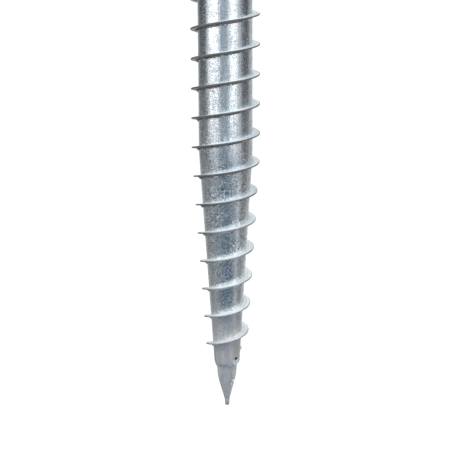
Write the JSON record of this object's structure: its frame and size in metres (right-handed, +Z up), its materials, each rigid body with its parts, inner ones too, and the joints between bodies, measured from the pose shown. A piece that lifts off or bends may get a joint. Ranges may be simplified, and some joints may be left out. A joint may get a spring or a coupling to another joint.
{
  "type": "foundation ground screw",
  "caption": "Galvanised steel ground screw: open tube swaged to a long cone and a pressed four-faced point, with a helical blade welded round it to anchor a post in soil",
  "frame": {"origin": "On the floor under the middle of the lying screw: half way along its length, below its axis, level with the lowest edge of the blade", "axes": "+Y runs along the screw from its point to its open end, +Z is up, and +X completes a right-handed frame"},
  "size_m": [0.0968, 1, 0.0968],
  "materials": {
    "galvanised_tube": "hot-dip zinc, bright and spangled on the tube, matt grey on the point",
    "galvanised_strip": "hot-dip zinc, bright",
    "galvanised_weld": "hot-dip zinc over a weld bead, dull"
  },
  "bodies": {
    "root": {"shaft": "galvanised_tube", "helix_blade": "galvanised_strip", "blade_weld": "galvanised_weld"}
  },
  "joints": []
}
